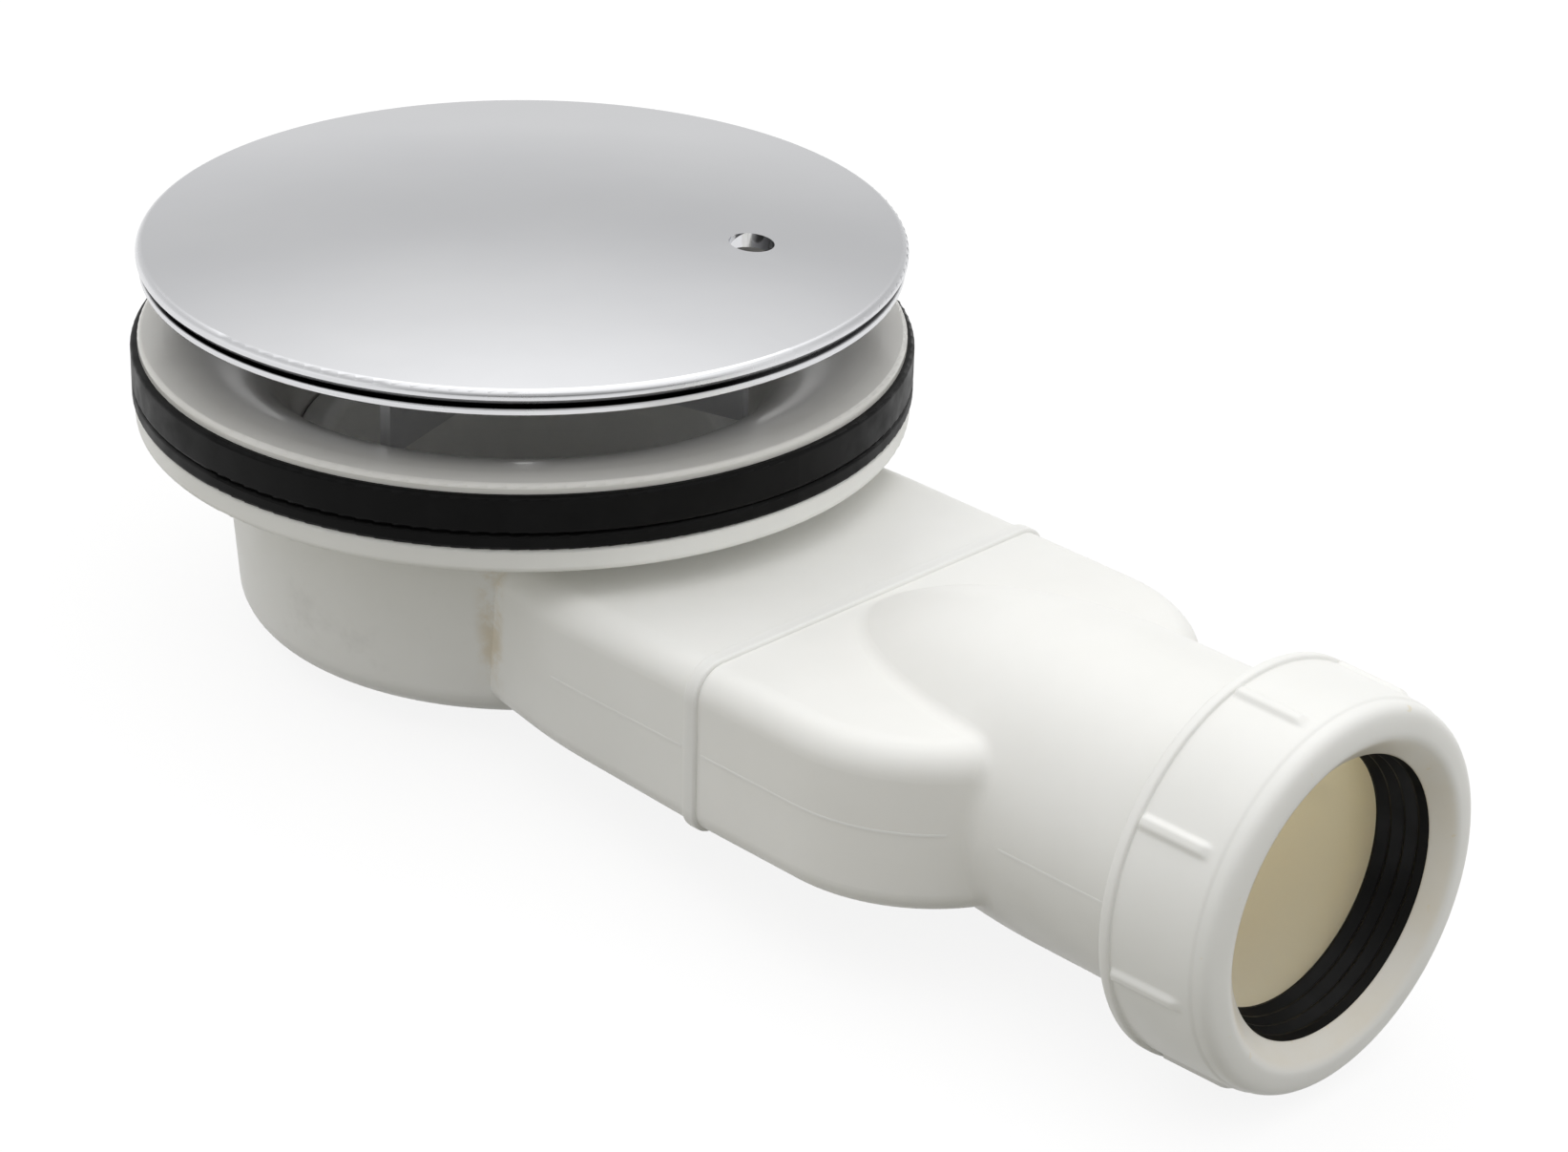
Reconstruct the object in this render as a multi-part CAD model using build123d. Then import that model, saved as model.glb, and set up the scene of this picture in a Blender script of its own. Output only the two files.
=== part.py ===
"""Low-profile shower trap: chromed dome cover, clamping flange, seals, trap body and side outlet.

Millimetres. +Z is up, +X runs to the outlet. The origin lies on the drain axis, at the
underside of the flange rim.
"""
from build123d import *
import math
import os

# What the trap is fitted to
tray_hole_diameter = 90.0
pipe_diameter = 40.0

# Walls and gaps
plastic_wall = 2.4
slip_gap = 0.3
ring_gap = 0.05
pipe_gap = 0.15

# Clamping flange
tray_hole_room = 2.1
flange_overlap = 12.8
flange_rim_thickness = 1.5
flange_rim_width = 3.8
flange_root_inset = 6.8
flange_edge_round = 0.7
dish_wall = 2.0
dish_depth = 17.9
skirt_wall = 2.3
skirt_reach = 6.6
throat_inset = 6.1
throat_wall = 2.2
dip_seat_ledge = 2.0
dip_seat_depth = 5.5

# Dome cover
cover_setback = 0.3
cover_gap = 10.1
cover_crown = 4.0
cover_wall = 2.2
cover_roll = 1.1
cover_rim_face = 1.3
cover_neck_depth = 1.1
cover_neck_height = 1.4
cover_lip_inset = 0.4
cover_lip_height = 1.1
cover_lip_round = 0.3
fin_count = 4
fin_first_angle = 17.0
fin_overlap = 3.7
fin_inner_radius = 4.0
fin_thickness = 1.7
lift_hole_diameter = 6.8
lift_hole_inset = 22.7
lift_hole_angle = 33.0

# Seals of the tray
seal_proud = 1.1
flange_seal_thickness = 5.8
tray_seal_thickness = 2.5
seal_edge_round = 0.6

# Trap body
collar_setback = 0.4
collar_thickness = 3.9
collar_edge_round = 1.2
bowl_wall = 2.6
bowl_draft = 2.3
bowl_depth = 31.4
bowl_base_round = 5.0
bowl_neck_round = 2.0
channel_inset = 8.6
channel_length = 30.5
channel_drop = 4.6
channel_foot = 1.4
channel_fall = 2.2
channel_top_round = 4.6
channel_bottom_round = 3.6
channel_neck_reach = 1.5
channel_neck_angle = 8.0
channel_neck_round = 80.0
weir_setback = 13.0
weir_gap = 5.0
weir_thickness = 2.2

# Weld between trap body and outlet adaptor
weld_bead_width = 1.2
weld_bead_proud = 0.6
weld_bead_round = 0.45

# Outlet adaptor
outlet_rise = 0.25
outlet_pipe_room = 0.95
outlet_wall = 2.3
transition_length = 46.0
transition_corner = 26.0
nose_start_radius = 10.7
nose_reach = 47.0
nose_foot_round = 2.5
tube_length = 30.0
thread_depth = 1.85
thread_runout = 1.0
thread_recess = 1.6

# Compression nut
nut_length = 19.7
nut_wall = 2.9
nut_draft = 0.3
nut_cap = 4.5
nut_lip_proud = 0.6
nut_lip_width = 1.7
nut_lip_round = 0.4
nut_front_round_share = 0.68
nut_mouth_round_share = 0.29
nut_rib_count = 8
nut_rib_first_angle = 12.5
nut_rib_width = 2.2
nut_rib_proud = 0.6
nut_rib_length = 10.5

# Outlet seal
outlet_seal_setback = 0.5
outlet_seal_length = 8.0
outlet_seal_room = 0.5
outlet_seal_bite = 1.3
outlet_seal_ridges = 4
outlet_seal_ridge_depth = 0.4

# Dip tube and its ring
dip_rim_thickness = 2.5
dip_taper = 2.7
dip_floor_gap = 5.0
dip_wall = 2.0
dip_mouth_round = 2.0
dip_groove_drop = 1.5
o_ring_section = 2.2
o_ring_squeeze_room = 0.6

# Radii that follow from the tray hole
flange_radius = tray_hole_diameter / 2 + flange_overlap
flange_root = flange_radius - flange_root_inset
skirt_radius = tray_hole_diameter / 2 - tray_hole_room
skirt_inner = skirt_radius - skirt_wall
throat_radius = skirt_inner - throat_inset
dip_seat_bore = throat_radius - dip_seat_ledge
bell_start = flange_radius - flange_rim_width
bell_reach = bell_start - throat_radius
cover_radius = flange_radius - cover_setback
fin_radius = throat_radius + fin_overlap
seal_bore = flange_root + slip_gap
seal_radius = flange_radius + seal_proud
collar_radius = seal_radius - collar_setback
body_bore = skirt_radius + slip_gap
bowl_radius = body_bore + bowl_wall
bowl_base_radius = bowl_radius - bowl_draft
channel_half_width = bowl_base_radius - channel_inset
dip_radius = dip_seat_bore - slip_gap
dip_foot_radius = dip_radius - dip_taper

# Heights that follow
bell_bottom = flange_rim_thickness - dish_depth
dip_seat_height = bell_bottom - dip_rim_thickness
dip_seat_bottom = dip_seat_height - dip_seat_depth
lip_bottom = flange_rim_thickness + cover_gap
neck_bottom = lip_bottom + cover_lip_height
neck_top = neck_bottom + cover_neck_height
cover_rim_height = neck_top + cover_rim_face
collar_top = -flange_seal_thickness - tray_seal_thickness
collar_bottom = collar_top - collar_thickness
skirt_bottom = collar_bottom - skirt_reach
bore_step = skirt_bottom - slip_gap * 2
bowl_base_height = collar_bottom - bowl_depth
bowl_floor = bowl_base_height + plastic_wall
channel_top = collar_bottom - channel_drop
channel_bottom = bowl_base_height + channel_foot
weir_crest = channel_top - plastic_wall - weir_gap
outlet_height = (channel_top + channel_bottom) / 2 + outlet_rise
dip_bottom = bowl_floor + dip_floor_gap
groove_top = dip_seat_height - dip_groove_drop
groove_bottom = groove_top - o_ring_section - o_ring_squeeze_room

# Outlet radii and places along the outlet that follow
outlet_radius = pipe_diameter / 2 + outlet_pipe_room + outlet_wall
thread_crest = outlet_radius + thread_depth
nut_bore = thread_crest + slip_gap
nut_radius = nut_bore + nut_wall
nut_front_radius = nut_radius - nut_draft
nut_lip_radius = nut_radius + nut_lip_proud
nut_mouth_radius = pipe_diameter / 2 + pipe_gap
outlet_seal_radius = thread_crest - outlet_seal_setback
outlet_seal_front_bore = pipe_diameter / 2 + outlet_seal_room
outlet_seal_lip_bore = pipe_diameter / 2 - outlet_seal_bite
neck_x = bowl_base_radius + channel_neck_reach
weld_x = bowl_base_radius + channel_length
weir_x = weld_x - weir_setback
nose_length = nose_reach / math.sqrt(1 - (nose_start_radius / outlet_radius) ** 2)
nose_end_x = weld_x + nose_reach
outlet_end_x = nose_end_x + tube_length
seal_front_x = outlet_end_x + outlet_seal_length
nut_front_x = seal_front_x + nut_cap
nut_back_x = nut_front_x - nut_length
outlet_axis = Axis((0, 0, outlet_height), (1, 0, 0))
outlet_plane = Plane((0, 0, outlet_height), x_dir=(1, 0, 0), z_dir=(0, -1, 0))


def outline(points, rounds=()):
    """Closed flat outline through points; rounds lists (point, radius)."""
    face = make_face(Polyline(*points, close=True))
    return rounded(face, rounds)


def rounded(face, rounds):
    """Round the corners of a flat face that lie nearest to the given points."""
    for point, radius in rounds:
        corner = face.vertices().sort_by_distance(Vector(*point))[0]
        face = fillet(corner, radius)
    return face


def turned(face):
    """Solid of revolution about the drain axis from an outline in radius and height."""
    return revolve(Plane.XZ * face, Axis.Z)


def turned_on_outlet(face):
    """Solid of revolution about the outlet axis from an outline in x and radius."""
    return revolve(outlet_plane * face, outlet_axis)


def block(low, high):
    """Box between two corners."""
    size = [b - a for a, b in zip(low, high)]
    middle = [(a + b) / 2 for a, b in zip(low, high)]
    return Pos(*middle) * Box(*size)


def crown(drop, reach):
    """Arc of the crown lowered by drop, from the given reach to the axis."""
    sphere = (cover_radius**2 + cover_crown**2) / (2 * cover_crown)
    centre = cover_rim_height + cover_crown - sphere
    spread = math.degrees(math.asin(reach / (sphere - drop)))
    return CenterArc((0, centre), sphere - drop, 90 - spread, spread)


def bell_height(radius):
    """Height of the flange's bell-shaped mouth at a radius."""
    return bell_bottom + dish_depth * math.sqrt(1 - ((bell_start - radius) / bell_reach) ** 2)


def bell_underside(radius):
    """Height of the underside of the bell at a radius, one wall below its surface."""
    inward = (bell_start - radius) / bell_reach
    slope = dish_depth * inward / (bell_reach * math.sqrt(1 - inward**2))
    return bell_height(radius) - dish_wall * math.sqrt(1 + slope**2)


def dome_cover():
    """Shallow dome with a rolled rim above an undercut lip, standing on crossed fins."""
    inside = cover_radius - cover_wall
    lip = cover_radius - cover_lip_inset
    outer = crown(0, cover_radius)
    inner = crown(cover_wall, inside)
    edge = Polyline(
        outer @ 0,
        (cover_radius, neck_top),
        (cover_radius - cover_neck_depth, neck_bottom),
        (lip, neck_bottom),
        (lip, lip_bottom),
        (inside, lip_bottom),
        inner @ 0,
    )
    shell = make_face([outer, inner, edge, Line(inner @ 1, outer @ 1)])
    shell = rounded(shell, [
        ((cover_radius, cover_rim_height), cover_roll),
        ((lip, neck_bottom), cover_lip_round),
        ((lip, lip_bottom), cover_lip_round),
    ])
    cover = turned(shell)

    fin_foot = bell_height(math.hypot(fin_radius, fin_thickness / 2)) + ring_gap
    fin_roof = crown(cover_wall / 2, fin_radius)
    fin_side = Polyline(
        fin_roof @ 0,
        (fin_radius, fin_foot),
        (fin_inner_radius, fin_foot),
        (fin_inner_radius, cover_rim_height),
        (0, cover_rim_height),
        fin_roof @ 1,
    )
    fin_face = Plane.XZ * make_face([fin_roof, fin_side])
    fin = extrude(fin_face, fin_thickness / 2, both=True)
    cover += PolarLocations(0, fin_count, fin_first_angle) * fin

    hole = Cylinder(lift_hole_diameter / 2, cover_rim_height + cover_crown)
    hole_place = Rot(0, 0, lift_hole_angle) * Pos(cover_radius - lift_hole_inset, 0, cover_rim_height)
    return cover - hole_place * hole


def clamping_flange():
    """Bell-mouthed ring with a seat for the dip tube and a skirt that screws into the body."""
    bell = EllipticalCenterArc((bell_start, bell_bottom), bell_reach, dish_depth, 90, arc_size=90)
    throat_outside = throat_radius + throat_wall
    rim_edge = (flange_radius, flange_rim_thickness)
    rest = Polyline(
        bell @ 1,
        (throat_radius, dip_seat_height),
        (dip_seat_bore, dip_seat_height),
        (dip_seat_bore, dip_seat_bottom),
        (throat_outside, dip_seat_bottom),
        (throat_outside, bell_underside(throat_outside)),
        (skirt_inner, bell_underside(skirt_inner)),
        (skirt_inner, skirt_bottom),
        (skirt_radius, skirt_bottom),
        (skirt_radius, bell_underside(skirt_radius)),
        (flange_root, 0),
        (flange_radius, 0),
        rim_edge,
        bell @ 0,
    )
    return turned(rounded(make_face([bell, rest]), [(rim_edge, flange_edge_round)]))


def flat_ring(bore, radius, bottom, top, edge_round):
    """Flat ring with both outer edges rounded."""
    points = [(bore, bottom), (radius, bottom), (radius, top), (bore, top)]
    return turned(outline(points, [(points[1], edge_round), (points[2], edge_round)]))


def channel_floor(x):
    """Height of the channel's underside, which falls towards the outlet."""
    return channel_bottom + channel_fall * (1 - x / weld_x)


def soften(form, open_ends, inset):
    """Round the upper and lower edges of a flat-sided form, apart from its open ends in x."""
    for index, radius in ((-1, channel_top_round), (0, channel_bottom_round)):
        edges = form.faces().sort_by(Axis.Z)[index].edges()
        edges = [edge for edge in edges if min(abs(edge.center().X - x) for x in open_ends) > slip_gap]
        form = fillet(edges, radius - inset)
    return form


def channel_form(inset, end_x):
    """Flat channel that leaves the bowl by a narrower neck, inset from the outside of the wall."""
    half = channel_half_width - inset
    neck_half = half - neck_x * math.tan(math.radians(channel_neck_angle))
    plan = outline([
        (0, -neck_half),
        (neck_x, -half),
        (end_x, -half),
        (end_x, half),
        (neck_x, half),
        (0, neck_half),
    ], [((neck_x, side), channel_neck_round) for side in (half, -half)])
    side = outline([
        (0, channel_floor(0) + inset),
        (end_x, channel_floor(end_x) + inset),
        (end_x, channel_top - inset),
        (0, channel_top - inset),
    ])
    form = Pos(0, 0, bowl_base_height) * extrude(plan, -bowl_base_height)
    form &= extrude(Plane.XZ * side, bowl_radius, both=True)
    return soften(form, (0, end_x), inset)


def weld_bead(direction):
    """Half of the bead that squeezes out all round the weld, on one side of the joint."""
    half = channel_half_width + weld_bead_proud
    top = channel_top + weld_bead_proud
    bottom = channel_bottom - weld_bead_proud
    section = outline(
        [(-half, bottom), (half, bottom), (half, top), (-half, top)],
        [((side, top), channel_top_round + weld_bead_proud) for side in (half, -half)]
        + [((side, bottom), channel_bottom_round + weld_bead_proud) for side in (half, -half)],
    )
    bead = extrude(Plane.YZ.offset(weld_x) * section, direction * weld_bead_width)
    outer_face = bead.faces().sort_by(Axis.X)[-1 if direction > 0 else 0]
    return fillet(outer_face.edges(), weld_bead_round)


def trap_body():
    """Collar, bowl and flat channel in one moulding, with a weir that holds the water seal."""
    points = [
        (0, bowl_base_height),
        (bowl_base_radius, bowl_base_height),
        (bowl_radius, collar_bottom),
        (collar_radius, collar_bottom),
        (collar_radius, collar_top),
        (0, collar_top),
    ]
    shell = turned(outline(points, [
        (points[1], bowl_base_round),
        (points[2], bowl_neck_round),
        (points[3], collar_edge_round),
        (points[4], collar_edge_round / 2),
    ]))
    shell += channel_form(0, weld_x)
    shell += weld_bead(-1)

    taper = bowl_draft / bowl_depth
    inner_base = bowl_base_radius - plastic_wall
    points = [
        (0, bowl_floor),
        (inner_base, bowl_floor),
        (inner_base + taper * (bore_step - bowl_floor), bore_step),
        (body_bore, bore_step),
        (body_bore, 0),
        (0, 0),
    ]
    shell -= turned(outline(points, [(points[1], bowl_base_round - plastic_wall)]))
    shell -= channel_form(plastic_wall, weld_x + plastic_wall)

    weir = block(
        (weir_x, -channel_half_width, channel_bottom),
        (weir_x + weir_thickness, channel_half_width, weir_crest),
    )
    return shell + (weir & channel_form(plastic_wall / 2, weld_x))


def outlet_form(inset, start_x, end_x):
    """Flat transition that swells into the round outlet tube, inset from the outside."""
    half = channel_half_width - inset
    front = weld_x + transition_length - inset
    plan = outline(
        [(start_x, -half), (front, -half), (front, half), (start_x, half)],
        [((front, side), transition_corner - inset) for side in (half, -half)],
    )
    height = channel_top - channel_bottom - 2 * inset
    flat = Pos(0, 0, channel_bottom + inset) * extrude(plan, height)
    flat = soften(flat, (start_x,), inset)

    radius = outlet_radius - inset
    length = nose_length - inset
    sweep = math.degrees(math.asin(nose_reach / length))
    nose = EllipticalCenterArc((nose_end_x, 0), length, radius, 90, arc_size=sweep)
    tube = make_face([nose, Polyline(
        nose @ 0,
        (end_x, radius),
        (end_x, 0),
        (weld_x, 0),
        nose @ 1,
    )])
    return flat + turned_on_outlet(tube)


def outlet_adaptor():
    """Moulding from the flat channel to the round outlet, with a threaded end."""
    shell = outlet_form(0, weld_x, outlet_end_x)
    shell = fillet(shell.edges().filter_by(GeomType.BSPLINE), nose_foot_round)
    shell += weld_bead(1)
    thread_start = nut_back_x + thread_recess
    thread_end = outlet_end_x - thread_runout
    thread_root = outlet_radius - outlet_wall / 2
    thread = outline([
        (thread_start - thread_runout, outlet_radius),
        (thread_start, thread_crest),
        (thread_end, thread_crest),
        (outlet_end_x, outlet_radius),
        (outlet_end_x, thread_root),
        (thread_start - thread_runout, thread_root),
    ])
    shell += turned_on_outlet(thread)
    return shell - outlet_form(outlet_wall, weld_x - outlet_wall, outlet_end_x + outlet_wall)


def compression_nut():
    """Nut with a raised back lip, grip ribs and a well-rounded front."""
    lip_end = nut_back_x + nut_lip_width
    front_wall = nut_front_radius - nut_mouth_radius
    points = [
        (nut_back_x, nut_bore),
        (nut_back_x, nut_lip_radius),
        (lip_end, nut_lip_radius),
        (lip_end, nut_radius),
        (nut_front_x, nut_front_radius),
        (nut_front_x, nut_mouth_radius),
        (seal_front_x, nut_mouth_radius),
        (seal_front_x, nut_bore),
    ]
    nut = turned_on_outlet(outline(points, [
        (points[1], nut_lip_round),
        (points[2], nut_lip_round),
        (points[4], front_wall * nut_front_round_share),
        (points[5], front_wall * nut_mouth_round_share),
    ]))

    rib_bottom = nut_front_radius - nut_rib_proud
    rib_height = nut_radius + nut_rib_proud - rib_bottom
    rib_section = Rectangle(nut_rib_width, rib_height)
    rib_section = fillet(rib_section.vertices().group_by(Axis.Y)[-1], nut_rib_width / 3)
    rib_plane = Plane((lip_end, 0, outlet_height), x_dir=(0, 1, 0), z_dir=(1, 0, 0))
    rib = extrude(rib_plane * Pos(0, rib_bottom + rib_height / 2) * rib_section, nut_rib_length)
    step = 360 / nut_rib_count
    ribs = [rib.rotate(outlet_axis, nut_rib_first_angle + step * n) for n in range(nut_rib_count)]
    return nut + ribs


def outlet_seal():
    """Ring between nut and outlet end, with ridges that lead in to a lip round the pipe."""
    pitch = outlet_seal_length / outlet_seal_ridges
    shrink = (outlet_seal_front_bore - outlet_seal_lip_bore) / outlet_seal_ridges
    bore = [(seal_front_x, outlet_seal_front_bore)]
    for n in range(outlet_seal_ridges):
        x = seal_front_x - pitch * (n + 1)
        ridge = outlet_seal_front_bore - shrink * (n + 1)
        bore += [(x + pitch / 3, ridge), (x + pitch / 6, ridge), (x, ridge + outlet_seal_ridge_depth)]
    face = outline(bore + [(outlet_end_x, outlet_seal_radius), (seal_front_x, outlet_seal_radius)])
    return turned_on_outlet(face)


def dip_tube():
    """Removable tube that hangs by its rim and dips into the water of the bowl."""
    groove = dip_seat_bore - o_ring_section - ring_gap * 2
    bore_top = groove - dip_wall / 2
    rim = throat_radius - slip_gap
    points = [
        (rim, bell_bottom),
        (rim, dip_seat_height),
        (dip_radius, dip_seat_height),
        (dip_radius, groove_top),
        (groove, groove_top),
        (groove, groove_bottom),
        (dip_radius, groove_bottom),
        (dip_radius, dip_seat_bottom),
        (dip_foot_radius, dip_bottom),
        (dip_foot_radius - dip_wall, dip_bottom),
        (bore_top, dip_seat_bottom),
        (bore_top, bell_bottom),
    ]
    return turned(outline(points, [(points[0], dip_wall / 4), (points[11], dip_mouth_round)]))


def dip_tube_seal():
    """O-ring in the dip tube's groove."""
    centre = dip_seat_bore - ring_gap - o_ring_section / 2
    return Pos(0, 0, (groove_top + groove_bottom) / 2) * Torus(centre, o_ring_section / 2)


pieces = {
    "dome_cover": dome_cover(),
    "clamping_flange": clamping_flange(),
    "flange_seal": flat_ring(seal_bore, seal_radius, -flange_seal_thickness, 0, seal_edge_round),
    "tray_seal": flat_ring(seal_bore, seal_radius, collar_top, -flange_seal_thickness, seal_edge_round),
    "trap_body": trap_body(),
    "outlet_adaptor": outlet_adaptor(),
    "compression_nut": compression_nut(),
    "outlet_seal": outlet_seal(),
    "dip_tube": dip_tube(),
    "dip_tube_seal": dip_tube_seal(),
}

os.makedirs("parts", exist_ok=True)
for name, piece in pieces.items():
    export_step(piece, f"parts/{name}.step")
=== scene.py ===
"""Looks of the low-profile shower trap: chromed cover, rubber seals and white moulded plastic."""
import math

import bmesh
import bpy
from mathutils import Matrix, Vector


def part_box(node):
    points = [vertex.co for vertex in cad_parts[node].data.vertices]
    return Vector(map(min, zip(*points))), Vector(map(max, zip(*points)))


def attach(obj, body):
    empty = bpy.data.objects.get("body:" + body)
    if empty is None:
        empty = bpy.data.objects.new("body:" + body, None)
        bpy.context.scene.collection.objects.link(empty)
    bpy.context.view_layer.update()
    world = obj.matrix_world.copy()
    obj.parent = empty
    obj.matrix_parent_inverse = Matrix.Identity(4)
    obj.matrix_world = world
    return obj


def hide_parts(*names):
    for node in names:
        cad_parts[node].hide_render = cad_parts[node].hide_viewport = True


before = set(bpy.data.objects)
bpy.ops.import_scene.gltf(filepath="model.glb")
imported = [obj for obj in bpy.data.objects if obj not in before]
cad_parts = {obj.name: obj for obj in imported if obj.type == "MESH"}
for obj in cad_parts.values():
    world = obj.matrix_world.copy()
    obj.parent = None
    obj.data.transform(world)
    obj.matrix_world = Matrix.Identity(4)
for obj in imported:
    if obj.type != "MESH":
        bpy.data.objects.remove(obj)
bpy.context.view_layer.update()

MM = 0.001
IMAGE_WIDTH = 1643

# Camera, found by matching the cover, the nut and the weld with the photograph
CAMERA_PLACE = Vector((451.4, -398.0, 260.7)) * MM
CAMERA_RIGHT = Vector((0.7012, 0.7126, 0.0240))
CAMERA_UP = Vector((-0.3347, 0.2993, 0.8936))
CAMERA_NEAREST = 0.01
FOCAL_PIXELS = 4542.6
SENSOR_MM = 36.0

# Studio: brightness by the height of a direction
SKY = [
    (0.0, 0.75), (0.17, 0.80), (0.34, 0.685), (0.415, 0.68), (0.485, 0.695),
    (0.55, 0.705), (0.60, 0.75), (0.664, 0.88), (0.75, 1.06), (1.0, 1.46),
]
# Soft lamps in it, as the way to each, the cosines of its edge and its core, and its light
SOFT_BOX = (Vector((-0.375, 0.375, 0.85)), (0.80, 0.97), 0.48)
LEFT_LAMP = (Vector((-0.335, -0.94, 0.05)), (0.76, 0.97), 0.40)
RIGHT_LAMP = (Vector((0.85, 0.35, 0.40)), (0.72, 0.97), 0.45)
LEFT_TOWARDS = Vector((-0.70, -0.71, 0.0))
LEFT_SHARE = 0.14
# Dimmer zones in it: low down in front, and half-way up on the near side
DIM_TOWARDS = Vector((0.87, -0.5, 0.0))
DIM_EDGES = (0.40, 0.98)
DIM_HEIGHTS = (0.18, 0.45)
DIM_SHARE = 0.78
NEAR_TOWARDS = Vector((0.26, -0.966, 0.0))
NEAR_EDGES = (0.1, 0.55)
NEAR_HEIGHTS = (0.48, 0.80)
NEAR_SOFT = 0.1
NEAR_SHARE = 0.3
# Small lamp in the outlet
INSIDE_FILL_X = 88.0
INSIDE_FILL_RADIUS = 8.0
INSIDE_FILL_WATTS = 0.008
INSIDE_FILL_COLOUR = (1.0, 0.94, 0.88)
# Floor: its own shade and glow as seen, and what it throws back on the part
FLOOR_SIZE = 8.0
FLOOR_CLEAR = 0.2
FLOOR_SHADE = 0.15
FLOOR_GLOW = 0.87
FLOOR_BOUNCE = (0.275, 0.268, 0.23)
BOWL_FOOT_X = 19.0

# Colours
CHROME_DARK = (0.68, 0.685, 0.705)
CHROME_LIGHT = (0.72, 0.725, 0.74)
CHROME_UNDERSIDE = (0.26, 0.26, 0.265)
# Painted shade: near black in the groove under the cover's rim
GROOVE_PAINTED_SHADE = (0.006, 0.006, 0.007)
WHITE_LIGHT = (0.90, 0.898, 0.868)
WHITE_DARK = (0.87, 0.868, 0.836)
# Painted shade: the flange's white plastic, darkened for the shade under the cover
FLANGE_SHADED_LIGHT = (0.75, 0.74, 0.705)
FLANGE_SHADED_DARK = (0.71, 0.70, 0.665)
# Painted light: warm beige for the light through the wall inside the outlet
INSIDE_PAINTED_GLOW = (0.955, 0.88, 0.72)
MOUTH_BEIGE = (0.84, 0.79, 0.68)
SPECK_YELLOW = (0.80, 0.68, 0.40)
STAIN_YELLOW = (0.66, 0.55, 0.36)
SMUDGE_GREY = (0.55, 0.54, 0.51)
RUBBER_DARK = 0.003
RUBBER_LIGHT = 0.006
DEPTH_BY_COLOUR = (1.0, 0.95, 0.88)
OUTSIDE_DEPTH_SHARE = 0.1

# Places on the part, in millimetres, that the materials and the added pieces use
# Painted shade in the groove under the cover's rim, fading from the front towards the back
GROOVE_LOW = 12.6
GROOVE_HIGH = 13.5
GROOVE_SOFT = 0.12
GROOVE_INNER = (55.8, 56.0)
GROOVE_TOWARDS = (0.5, -0.866)
GROOVE_SHADE_FRONT_EDGES = (0.5, 0.78)
GROOVE_SHADE_LEAST = 0.45
COVER_LIP_BOTTOM = 11.6
COVER_ROLL = (56.3, 56.8)
UNDERSIDE_FACING = (-0.3, -0.6)
BELOW_DULL = 0.42
ROLL_DULL = 0.2
BOWL_WALL = (40.0, 47.0)
SMUDGE_SHARE = 0.25
SEAM_PLACE = (30.4, -33.1)
SEAM_HEIGHTS = (-36.0, -16.0)
SEAM_REACH = (3.2, 0.5)
STAIN_SHARE = 0.6
SPECK_SHARE = 0.35
OUTLET_HEIGHT = -29.25
OUTLET_RADIUS = 23.25
CHANNEL_HALF = 34.9
NECK_X = 45.0
NECK_FADE = 4.0
WELD_X = 74.0
WELD_CLEAR = 2.0
CORNER_X = 94.0
CORNER_RADIUS = 26.0
CORNER_SWEEP = 50.0
CORNER_STEPS = 24
TUBE_START_X = 121.0
RIDGE_WIDTH = 0.5
RIDGE_PROUD = 0.07
RIDGE_SUNK = 0.06
RIDGE_LEDGE = 0.03

# Nut: grip ribs, and the outline as (x, radius) in millimetres
NUT_STEPS = 720
NUT_RADIUS = 28.3
NUT_OUTSIDE = 27.5
NUT_RIBS = 8
NUT_RIB_FIRST = 12.5
NUT_RIB_HALF = 1.15
NUT_RIB_CORE = 0.35
NUT_RIB_FOOT = 1.15
NUT_RIB_PROUD = 0.62
NUT_RIB_START_X = 145.6
NUT_RIB_END_X = 157.3
NUT_RIB_FADE = 1.7
NUT_FUNNEL_X = 158.9
NUT_FUNNEL_RADIUS = 23.4
NUT_BACK_X = 143.8
NUT_BACK = [(143.82, 25.5), (143.82, 27.0), (143.82, 28.4)]
NUT_LIP_TURNS = [(144.25, 180.0), (145.05, 90.0)]
NUT_LIP_RADIUS = 28.45
NUT_LIP_ROUND = 0.43
NUT_LIP_POINTS = 5
NUT_SIDE = [(145.52, 28.36), (145.6, 28.31), (145.8, 28.3)]
NUT_SIDE += [(146.2 + 0.55 * n, 28.29 - 0.011 * n) for n in range(22)]
NUT_CREASE = [(158.1, 28.03), (158.4, 28.0), (158.62, 27.9), (158.78, 27.8), (158.95, 27.74)]
NUT_FRONT = [
    (159.4, 27.7), (159.9, 27.6), (160.35, 27.4), (160.75, 27.08), (161.05, 26.66), (161.25, 26.15),
    (161.4, 25.55), (161.51, 24.95), (161.6, 24.35), (161.63, 23.95), (161.59, 23.6), (161.48, 23.25),
]
NUT_FUNNEL = [(161.3, 22.9), (160.45, 21.86), (159.6, 20.86), (159.2, 20.42), (159.05, 20.27)]
NUT_INSIDE = [(159.0, 20.3), (159.0, 22.5), (159.0, 25.3), (158.8, 25.5), (152.0, 25.5)]


def node_tree(name):
    """New material with its node tree and main shader."""
    material = bpy.data.materials.new(name)
    material.use_nodes = True
    tree = material.node_tree
    return material, tree, tree.nodes["Principled BSDF"]


def add(tree, kind, **values):
    """Add a node and set its properties."""
    node = tree.nodes.new(kind)
    for key, value in values.items():
        setattr(node, key, value)
    return node


def feed(tree, socket, value):
    """Give a socket a link, a plain number or a plain colour."""
    if isinstance(value, bpy.types.NodeSocket):
        tree.links.new(value, socket)
    elif hasattr(value, "__len__"):
        socket.default_value = (*value, 1) if len(socket.default_value) == 4 else value
    else:
        socket.default_value = value


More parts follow.
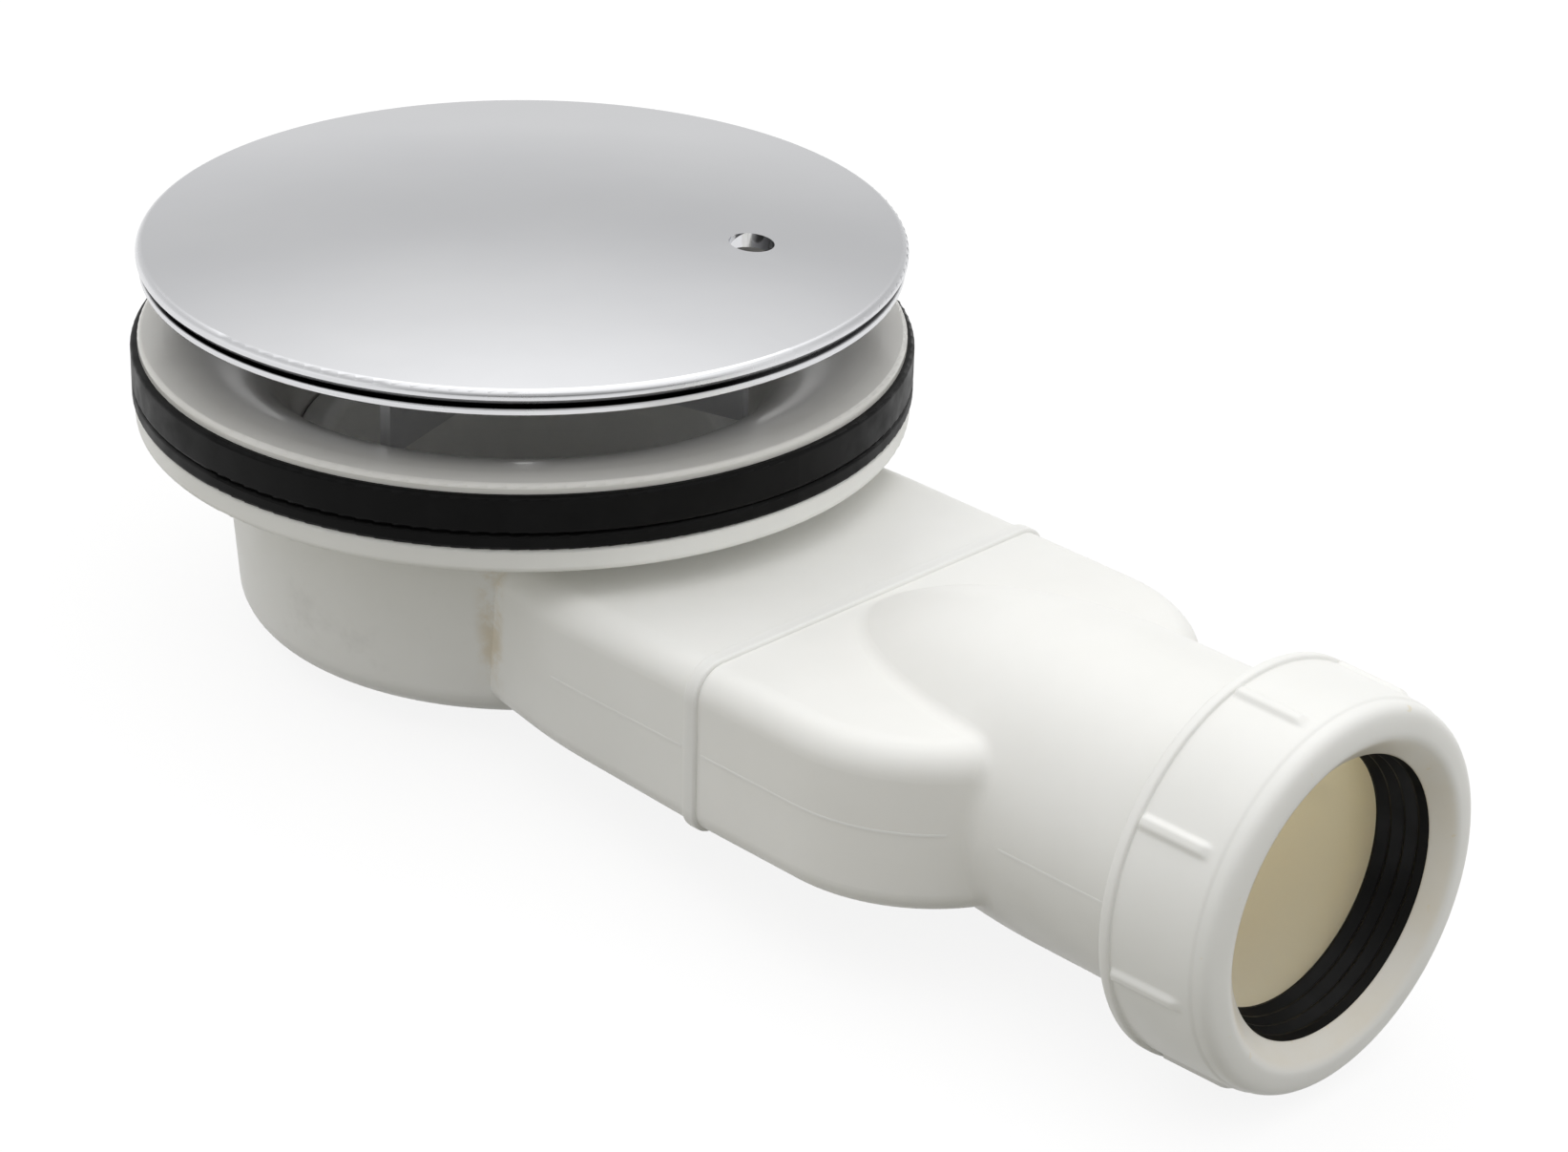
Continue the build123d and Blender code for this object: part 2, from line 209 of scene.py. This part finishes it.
def separate(tree, vector):
    """Three parts of a vector."""
    parts = add(tree, "ShaderNodeSeparateXYZ")
    tree.links.new(vector, parts.inputs["Vector"])
    return parts.outputs["X"], parts.outputs["Y"], parts.outputs["Z"]


def object_position(tree):
    """Position in the part's own frame."""
    return add(tree, "ShaderNodeTexCoord").outputs["Object"]


def position_parts(tree):
    """Position in the part's own frame, in millimetres, as x, y and z."""
    scaled = add(tree, "ShaderNodeVectorMath", operation="SCALE")
    scaled.inputs["Scale"].default_value = 1 / MM
    tree.links.new(object_position(tree), scaled.inputs[0])
    return separate(tree, scaled.outputs["Vector"])


def facing_parts(tree):
    """Way that the surface faces, as x, y and z."""
    return separate(tree, add(tree, "ShaderNodeNewGeometry").outputs["Normal"])


def noise(tree, scale, detail=3.0, roughness=0.5):
    """Noise value at a number of waves to the metre."""
    node = add(tree, "ShaderNodeTexNoise")
    node.inputs["Scale"].default_value = scale
    node.inputs["Detail"].default_value = detail
    node.inputs["Roughness"].default_value = roughness
    tree.links.new(object_position(tree), node.inputs["Vector"])
    return node.outputs["Fac"]


def ramp(tree, value, stops):
    """Colour ramp through (place, grey or colour) stops."""
    node = add(tree, "ShaderNodeValToRGB")
    elements = node.color_ramp.elements
    while len(elements) < len(stops):
        elements.new(0.5)
    for element, (place, colour) in zip(elements, stops):
        element.position = place
        if not hasattr(colour, "__len__"):
            colour = (colour, colour, colour)
        element.color = (*colour, 1)
    tree.links.new(value, node.inputs["Fac"])
    return node.outputs["Color"]


def math_node(tree, operation, a, b=0.0):
    """Math node on sockets or plain numbers."""
    node = add(tree, "ShaderNodeMath", operation=operation)
    feed(tree, node.inputs[0], a)
    feed(tree, node.inputs[1], b)
    return node.outputs["Value"]


def total(tree, first, *others):
    """Sum of sockets or plain numbers."""
    for other in others:
        first = math_node(tree, "ADD", first, other)
    return first


def product(tree, first, *others):
    """Product of sockets or plain numbers."""
    for other in others:
        first = math_node(tree, "MULTIPLY", first, other)
    return first


def step_between(tree, value, start, end):
    """Smooth step from 0 at start to 1 at end."""
    node = add(tree, "ShaderNodeMapRange", interpolation_type="SMOOTHSTEP")
    feed(tree, node.inputs["Value"], value)
    node.inputs["From Min"].default_value = start
    node.inputs["From Max"].default_value = end
    return node.outputs["Result"]


def band(tree, value, low, high, soft):
    """1 between low and high, fading to 0 over soft."""
    rising = step_between(tree, value, low - soft, low + soft)
    falling = step_between(tree, value, high + soft, high - soft)
    return product(tree, rising, falling)


def radius_about(tree, a, b):
    """Distance from a point given by two signed offsets."""
    return math_node(tree, "SQRT", total(tree, product(tree, a, a), product(tree, b, b)))


def mix(tree, share, a, b):
    """Mix of two colours by a share, each a socket or a plain colour."""
    node = add(tree, "ShaderNodeMix", data_type="RGBA")
    feed(tree, node.inputs["Factor"], share)
    feed(tree, node.inputs[6], a)
    feed(tree, node.inputs[7], b)
    return node.outputs[2]


def bump(tree, shader, height, strength, depth):
    """Fine relief of the surface, depth in metres."""
    node = add(tree, "ShaderNodeBump")
    node.inputs["Strength"].default_value = strength
    node.inputs["Distance"].default_value = depth
    tree.links.new(height, node.inputs["Height"])
    tree.links.new(node.outputs["Normal"], shader.inputs["Normal"])


def chrome():
    """Bright plating with faint smears, painted shade in the groove under the rim, strongest towards the
    front, and a duller underside.
    """
    material, tree, shader = node_tree("chrome_plating")
    shader.inputs["Metallic"].default_value = 1.0
    x, y, z = position_parts(tree)
    radius = radius_about(tree, x, y)
    # Painted shade: the groove under the rim is painted near black, fully at the front and less towards
    # the back
    towards_front = total(tree, product(tree, x, GROOVE_TOWARDS[0]), product(tree, y, GROOVE_TOWARDS[1]))
    groove_shade_front = step_between(tree, math_node(tree, "DIVIDE", towards_front, radius), *GROOVE_SHADE_FRONT_EDGES)
    groove_shade_front = total(tree, GROOVE_SHADE_LEAST, product(tree, groove_shade_front, 1 - GROOVE_SHADE_LEAST))
    in_groove = band(tree, z, GROOVE_LOW, GROOVE_HIGH, GROOVE_SOFT)
    painted_groove_shade = product(tree, in_groove, step_between(tree, radius, *GROOVE_INNER), groove_shade_front)
    underside = step_between(tree, facing_parts(tree)[2], *UNDERSIDE_FACING)
    tint = ramp(tree, noise(tree, 22, 4), [(0.3, CHROME_DARK), (0.7, CHROME_LIGHT)])
    tint = mix(tree, underside, tint, CHROME_UNDERSIDE)
    tree.links.new(mix(tree, painted_groove_shade, tint, GROOVE_PAINTED_SHADE), shader.inputs["Base Color"])
    smear = ramp(tree, noise(tree, 60, 5, 0.6), [(0.35, 0.05), (0.75, 0.11)])
    below = step_between(tree, z, COVER_LIP_BOTTOM + 0.2, COVER_LIP_BOTTOM - 0.2)
    roll = step_between(tree, radius, *COVER_ROLL)
    dull = total(tree, smear, product(tree, below, BELOW_DULL), product(tree, roll, ROLL_DULL))
    tree.links.new(dull, shader.inputs["Roughness"])
    bump(tree, shader, noise(tree, 90, 2), 0.05, 0.2 * MM)
    return material


def plastic(name, light, dark, gloss_low, gloss_high, depth_share, depth, marks=None):
    """Moulded plastic with cloudy colour, uneven gloss, a soft depth and a fine skin."""
    material, tree, shader = node_tree(name)
    colour = ramp(tree, noise(tree, 35, 4, 0.6), [(0.3, dark), (0.62, light)])
    if marks:
        colour = marks(tree, colour)
    tree.links.new(colour, shader.inputs["Base Color"])
    gloss = ramp(tree, noise(tree, 120, 3), [(0.3, gloss_low), (0.7, gloss_high)])
    tree.links.new(gloss, shader.inputs["Roughness"])
    weight = depth_share(tree) if callable(depth_share) else depth_share
    feed(tree, shader.inputs["Subsurface Weight"], weight)
    shader.inputs["Subsurface Radius"].default_value = DEPTH_BY_COLOUR
    shader.inputs["Subsurface Scale"].default_value = depth * MM
    bump(tree, shader, noise(tree, 1400, 3), 0.10, 0.05 * MM)
    return material


def bowl_marks(tree, colour):
    """Yellowish stain along the near seam of bowl and channel, and faint grey smudges on the bowl."""
    x, y, z = position_parts(tree)
    off_seam = radius_about(
        tree,
        math_node(tree, "SUBTRACT", x, SEAM_PLACE[0]),
        math_node(tree, "SUBTRACT", y, SEAM_PLACE[1]),
    )
    near = step_between(tree, off_seam, *SEAM_REACH)
    patches = step_between(tree, noise(tree, 190, 4, 0.7), 0.34, 0.64)
    height = band(tree, z, *SEAM_HEIGHTS, 5.0)
    colour = mix(tree, product(tree, near, patches, height, STAIN_SHARE), colour, STAIN_YELLOW)
    smudge = step_between(tree, noise(tree, 48, 5, 0.72), 0.56, 0.76)
    on_bowl = band(tree, radius_about(tree, x, y), *BOWL_WALL, 1.0)
    return mix(tree, product(tree, smudge, on_bowl, SMUDGE_SHARE), colour, SMUDGE_GREY)


def facing_in(tree):
    """1 on the faces that look in towards the outlet's axis."""
    _, y, z = position_parts(tree)
    _, facing_y, facing_z = facing_parts(tree)
    off_z = math_node(tree, "SUBTRACT", z, OUTLET_HEIGHT)
    outward = total(tree, product(tree, facing_y, y), product(tree, facing_z, off_z))
    return step_between(tree, outward, -2.0, -6.0)


def inside_painted_glow(tree, colour):
    """Painted light: warm beige painted on the inside of the outlet, for the light that comes through
    the wall.
    """
    return mix(tree, facing_in(tree), colour, INSIDE_PAINTED_GLOW)


def inside_depth(tree):
    """More light through the wall on the inside of the outlet than on its outside."""
    return total(tree, OUTSIDE_DEPTH_SHARE, product(tree, facing_in(tree), 1 - OUTSIDE_DEPTH_SHARE))


def mouth_tint(tree, colour):
    """Patchy beige in the funnel of the nut's mouth and a few yellow specks round it."""
    x, y, z = position_parts(tree)
    off_axis = radius_about(tree, y, math_node(tree, "SUBTRACT", z, OUTLET_HEIGHT))
    funnel = product(
        tree,
        step_between(tree, off_axis, NUT_FUNNEL_RADIUS + 0.5, NUT_FUNNEL_RADIUS - 1.0),
        step_between(tree, x, NUT_FUNNEL_X - 0.2, NUT_FUNNEL_X + 0.2),
    )
    funnel_beige = product(tree, funnel, ramp(tree, noise(tree, 90, 4), [(0.3, 0.35), (0.7, 0.9)]))
    colour = mix(tree, funnel_beige, colour, MOUTH_BEIGE)
    speck = step_between(tree, noise(tree, 420, 2), 0.71, 0.76)
    front = step_between(tree, x, NUT_FUNNEL_X - 1.0, NUT_FUNNEL_X + 1.0)
    return mix(tree, product(tree, speck, front, SPECK_SHARE), colour, SPECK_YELLOW)


def rubber(name, shine):
    """Black rubber with a dull bloom and a fine grain."""
    material, tree, shader = node_tree(name)
    bloom = ramp(tree, noise(tree, 70, 5, 0.65), [(0.35, RUBBER_DARK), (0.7, RUBBER_LIGHT)])
    tree.links.new(bloom, shader.inputs["Base Color"])
    dull = ramp(tree, noise(tree, 260, 3), [(0.3, 0.34), (0.7, 0.5)])
    tree.links.new(dull, shader.inputs["Roughness"])
    shader.inputs["Specular IOR Level"].default_value = shine
    bump(tree, shader, noise(tree, 900, 4), 0.15, 0.05 * MM)
    return material


def dress(node, material):
    """Give a carried-over CAD node its material."""
    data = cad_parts[node].data
    data.materials.clear()
    data.materials.append(material)


def white_piece(name, mesh, material):
    """Object from a finished mesh, riding on the part as white plastic."""
    bmesh.ops.recalc_face_normals(mesh, faces=mesh.faces)
    data = bpy.data.meshes.new(name)
    mesh.to_mesh(data)
    mesh.free()
    data.materials.append(material)
    piece = bpy.data.objects.new(name, data)
    bpy.context.scene.collection.objects.link(piece)
    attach(piece, "root")
    return piece


def ridge(name, path, material):
    """Fine moulding ridge along a path of (point, outward direction), in millimetres."""
    mesh = bmesh.new()
    half = RIDGE_WIDTH / 2
    section = [
        (-half, -RIDGE_SUNK), (-half + RIDGE_LEDGE, RIDGE_PROUD), (0, RIDGE_PROUD * 0.75),
        (half * 0.6, RIDGE_PROUD * 0.3), (half, -RIDGE_SUNK),
    ]
    rows = []
    for (x, y, z), (outward_x, outward_y) in path:
        rows.append([
            mesh.verts.new(Vector((x + outward_x * out, y + outward_y * out, z + up)) * MM)
            for up, out in section
        ])
    for first, second in zip(rows, rows[1:]):
        ring = list(zip(first, second))
        for (a, b), (c, d) in zip(ring, ring[1:] + ring[:1]):
            mesh.faces.new((a, b, d, c))
    for row in (rows[0], rows[-1]):
        mesh.faces.new(row)
    white_piece(name, mesh, material)


def moulding_ridges(material):
    """Parting ridges along both sides of channel, transition and outlet tube."""
    for side, label in ((-1, "near"), (1, "far")):
        straight = (0, side)
        ridge(f"channel_ridge_{label}", [
            ((NECK_X, side * (CHANNEL_HALF - RIDGE_PROUD), OUTLET_HEIGHT), straight),
            ((NECK_X + NECK_FADE, side * CHANNEL_HALF, OUTLET_HEIGHT), straight),
            ((WELD_X - WELD_CLEAR, side * CHANNEL_HALF, OUTLET_HEIGHT), straight),
        ], material)
        path = [((WELD_X + WELD_CLEAR, side * CHANNEL_HALF, OUTLET_HEIGHT), straight)]
        centre_y = CHANNEL_HALF - CORNER_RADIUS
        for n in range(CORNER_STEPS + 1):
            turn = math.radians(CORNER_SWEEP) * n / CORNER_STEPS
            outward = (math.sin(turn), side * math.cos(turn))
            point = (
                CORNER_X + CORNER_RADIUS * outward[0],
                side * centre_y + CORNER_RADIUS * outward[1],
                OUTLET_HEIGHT,
            )
            path.append((point, outward))
        ridge(f"transition_ridge_{label}", path, material)
        ridge(f"tube_ridge_{label}", [
            ((TUBE_START_X, side * OUTLET_RADIUS, OUTLET_HEIGHT), straight),
            ((NUT_BACK_X - 0.5, side * OUTLET_RADIUS, OUTLET_HEIGHT), straight),
        ], material)


def nut_profile():
    """Outline of the nut, once round, from the back of the bore."""
    lip = []
    for centre_x, first in NUT_LIP_TURNS:
        for n in range(NUT_LIP_POINTS):
            turn = math.radians(first - 90 * n / (NUT_LIP_POINTS - 1))
            lip.append((
                centre_x + NUT_LIP_ROUND * math.cos(turn),
                NUT_LIP_RADIUS + NUT_LIP_ROUND * math.sin(turn),
            ))
    return NUT_BACK + lip + NUT_SIDE + NUT_CREASE + NUT_FRONT + NUT_FUNNEL + NUT_INSIDE


def eased(value, start, end):
    """Smooth step from 0 at start to 1 at end."""
    share = min(max((value - start) / (end - start), 0.0), 1.0)
    return share * share * (3 - 2 * share)


def compression_nut(material):
    """Nut with a raised back lip, soft grip ribs, a rolled front and a funnel mouth."""
    profile = nut_profile()
    pitch = 360 / NUT_RIBS
    rib_core = NUT_RIB_HALF * NUT_RIB_CORE
    rib_foot = NUT_RIB_HALF * NUT_RIB_FOOT
    mesh = bmesh.new()
    rings = []
    for step in range(NUT_STEPS):
        angle = 360 * step / NUT_STEPS
        turn = math.radians(angle)
        off_rib = abs((angle - NUT_RIB_FIRST + pitch / 2) % pitch - pitch / 2)
        across = 1 - eased(math.radians(off_rib) * NUT_RADIUS, rib_core, rib_foot)
        ring = []
        for x, radius in profile:
            if radius > NUT_OUTSIDE and x > NUT_RIB_START_X:
                along = 1 - eased(x, NUT_RIB_END_X - NUT_RIB_FADE, NUT_RIB_END_X)
                radius += NUT_RIB_PROUD * across * along
            place = (x, -radius * math.sin(turn), OUTLET_HEIGHT + radius * math.cos(turn))
            ring.append(mesh.verts.new(Vector(place) * MM))
        rings.append(ring)
    for ring, after in zip(rings, rings[1:] + rings[:1]):
        for n in range(len(profile)):
            m = (n + 1) % len(profile)
            face = mesh.faces.new((ring[n], ring[m], after[m], after[n]))
            face.smooth = True
    piece = white_piece("nut", mesh, material)
    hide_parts("compression_nut")


def pale_floor():
    """Pale floor under the part, which lies on the bowl's far edge and the nut's back lip."""
    bowl_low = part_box("trap_body")[0]
    nut_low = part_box("compression_nut")[0]
    bowl_edge = Vector((bowl_low.x + BOWL_FOOT_X * MM, 0, bowl_low.z))
    nut_edge = Vector((nut_low.x, 0, nut_low.z))
    slope = (bowl_edge.z - nut_edge.z) / (nut_edge.x - bowl_edge.x)
    bpy.ops.mesh.primitive_plane_add(size=FLOOR_SIZE)
    floor = bpy.context.object
    floor.name = "floor"
    floor.rotation_euler = (0, math.atan(slope), 0)
    floor.location = nut_edge - Vector((0, 0, FLOOR_CLEAR * MM))
    material, tree, shader = node_tree("pale_floor")
    shader.inputs["Roughness"].default_value = 0.9
    shader.inputs["Specular IOR Level"].default_value = 0.0
    path = add(tree, "ShaderNodeLightPath").outputs
    seen = math_node(tree, "MAXIMUM", path["Is Camera Ray"], path["Is Glossy Ray"])
    seen = math_node(tree, "MAXIMUM", seen, path["Is Transmission Ray"])
    tint = ramp(tree, noise(tree, 3), [(0.3, FLOOR_SHADE * 0.97), (0.7, FLOOR_SHADE * 1.03)])
    tree.links.new(mix(tree, seen, FLOOR_BOUNCE, tint), shader.inputs["Base Color"])
    shader.inputs["Emission Color"].default_value = (1, 1, 1, 1)
    tree.links.new(product(tree, seen, FLOOR_GLOW), shader.inputs["Emission Strength"])
    floor.data.materials.append(material)


def towards(tree, direction, way):
    """Cosine of the angle between a direction and a fixed way."""
    node = add(tree, "ShaderNodeVectorMath", operation="DOT_PRODUCT")
    tree.links.new(direction, node.inputs[0])
    node.inputs[1].default_value = way.normalized()
    return node.outputs["Value"]


def studio_light():
    """Soft studio: bright above, with soft lamps round the part and dimmer zones towards the front."""
    world = bpy.data.worlds.new("studio")
    bpy.context.scene.world = world
    world.use_nodes = True
    tree = world.node_tree
    direction = add(tree, "ShaderNodeTexCoord").outputs["Generated"]
    height = towards(tree, direction, Vector((0, 0, 1)))
    strength = 1.0
    for way, edges, light in (SOFT_BOX, LEFT_LAMP, RIGHT_LAMP):
        lit = step_between(tree, towards(tree, direction, way), *edges)
        strength = total(tree, strength, product(tree, lit, light))
    strength = total(tree, strength, product(tree, towards(tree, direction, LEFT_TOWARDS), LEFT_SHARE))
    front = step_between(tree, towards(tree, direction, DIM_TOWARDS), *DIM_EDGES)
    low = step_between(tree, height, *reversed(DIM_HEIGHTS))
    near = step_between(tree, towards(tree, direction, NEAR_TOWARDS), *NEAR_EDGES)
    half_way = band(tree, height, *NEAR_HEIGHTS, NEAR_SOFT)
    for dim in (product(tree, front, low, DIM_SHARE), product(tree, near, half_way, NEAR_SHARE)):
        strength = product(tree, strength, math_node(tree, "SUBTRACT", 1.0, dim))
    background = tree.nodes["Background"]
    tree.links.new(ramp(tree, height, SKY), background.inputs["Color"])
    tree.links.new(strength, background.inputs["Strength"])


def inside_fill():
    """Small soft lamp deep in the outlet, for the light that reaches its inside through the wall."""
    data = bpy.data.lights.new("inside_fill", "POINT")
    data.energy = INSIDE_FILL_WATTS
    data.color = INSIDE_FILL_COLOUR
    data.shadow_soft_size = INSIDE_FILL_RADIUS * MM
    lamp = bpy.data.objects.new("inside_fill", data)
    lamp.location = Vector((INSIDE_FILL_X, 0, OUTLET_HEIGHT)) * MM
    lamp.visible_camera = False
    bpy.context.scene.collection.objects.link(lamp)


def photo_camera():
    """Camera at the photograph's angle."""
    data = bpy.data.cameras.new("camera")
    data.sensor_fit = "HORIZONTAL"
    data.sensor_width = SENSOR_MM
    data.lens = FOCAL_PIXELS / IMAGE_WIDTH * SENSOR_MM
    data.clip_start = CAMERA_NEAREST
    camera = bpy.data.objects.new("camera", data)
    bpy.context.scene.collection.objects.link(camera)
    right = CAMERA_RIGHT.normalized()
    back = right.cross(CAMERA_UP).normalized()
    up = back.cross(right)
    turn = Matrix((right, up, back)).transposed()
    camera.matrix_world = Matrix.Translation(CAMERA_PLACE) @ turn.to_4x4()
    bpy.context.scene.camera = camera


chrome_plating = chrome()
body_plastic = plastic(
    "body_plastic", WHITE_LIGHT, WHITE_DARK, 0.34, 0.46, OUTSIDE_DEPTH_SHARE, 1.5, bowl_marks)
outlet_plastic = plastic(
    "outlet_plastic", WHITE_LIGHT, WHITE_DARK, 0.34, 0.46, inside_depth, 6.0, inside_painted_glow)
nut_plastic = plastic(
    "nut_plastic", WHITE_LIGHT, WHITE_DARK, 0.32, 0.44, OUTSIDE_DEPTH_SHARE, 1.5, mouth_tint)
# Painted shade: the flange plastic is the white plastic darkened for the shade under the cover
flange_plastic = plastic(
    "flange_plastic", FLANGE_SHADED_LIGHT, FLANGE_SHADED_DARK, 0.14, 0.22, OUTSIDE_DEPTH_SHARE, 1.0)
tray_rubber = rubber("tray_rubber", 0.08)
pipe_rubber = rubber("pipe_rubber", 0.16)

dress("dome_cover", chrome_plating)
dress("clamping_flange", flange_plastic)
dress("flange_seal", tray_rubber)
dress("tray_seal", tray_rubber)
dress("trap_body", body_plastic)
dress("outlet_adaptor", outlet_plastic)
dress("compression_nut", nut_plastic)
dress("outlet_seal", pipe_rubber)
dress("dip_tube", body_plastic)
dress("dip_tube_seal", pipe_rubber)
moulding_ridges(nut_plastic)
compression_nut(nut_plastic)

pale_floor()
studio_light()
inside_fill()
photo_camera()
bpy.context.scene.view_settings.view_transform = "Standard"
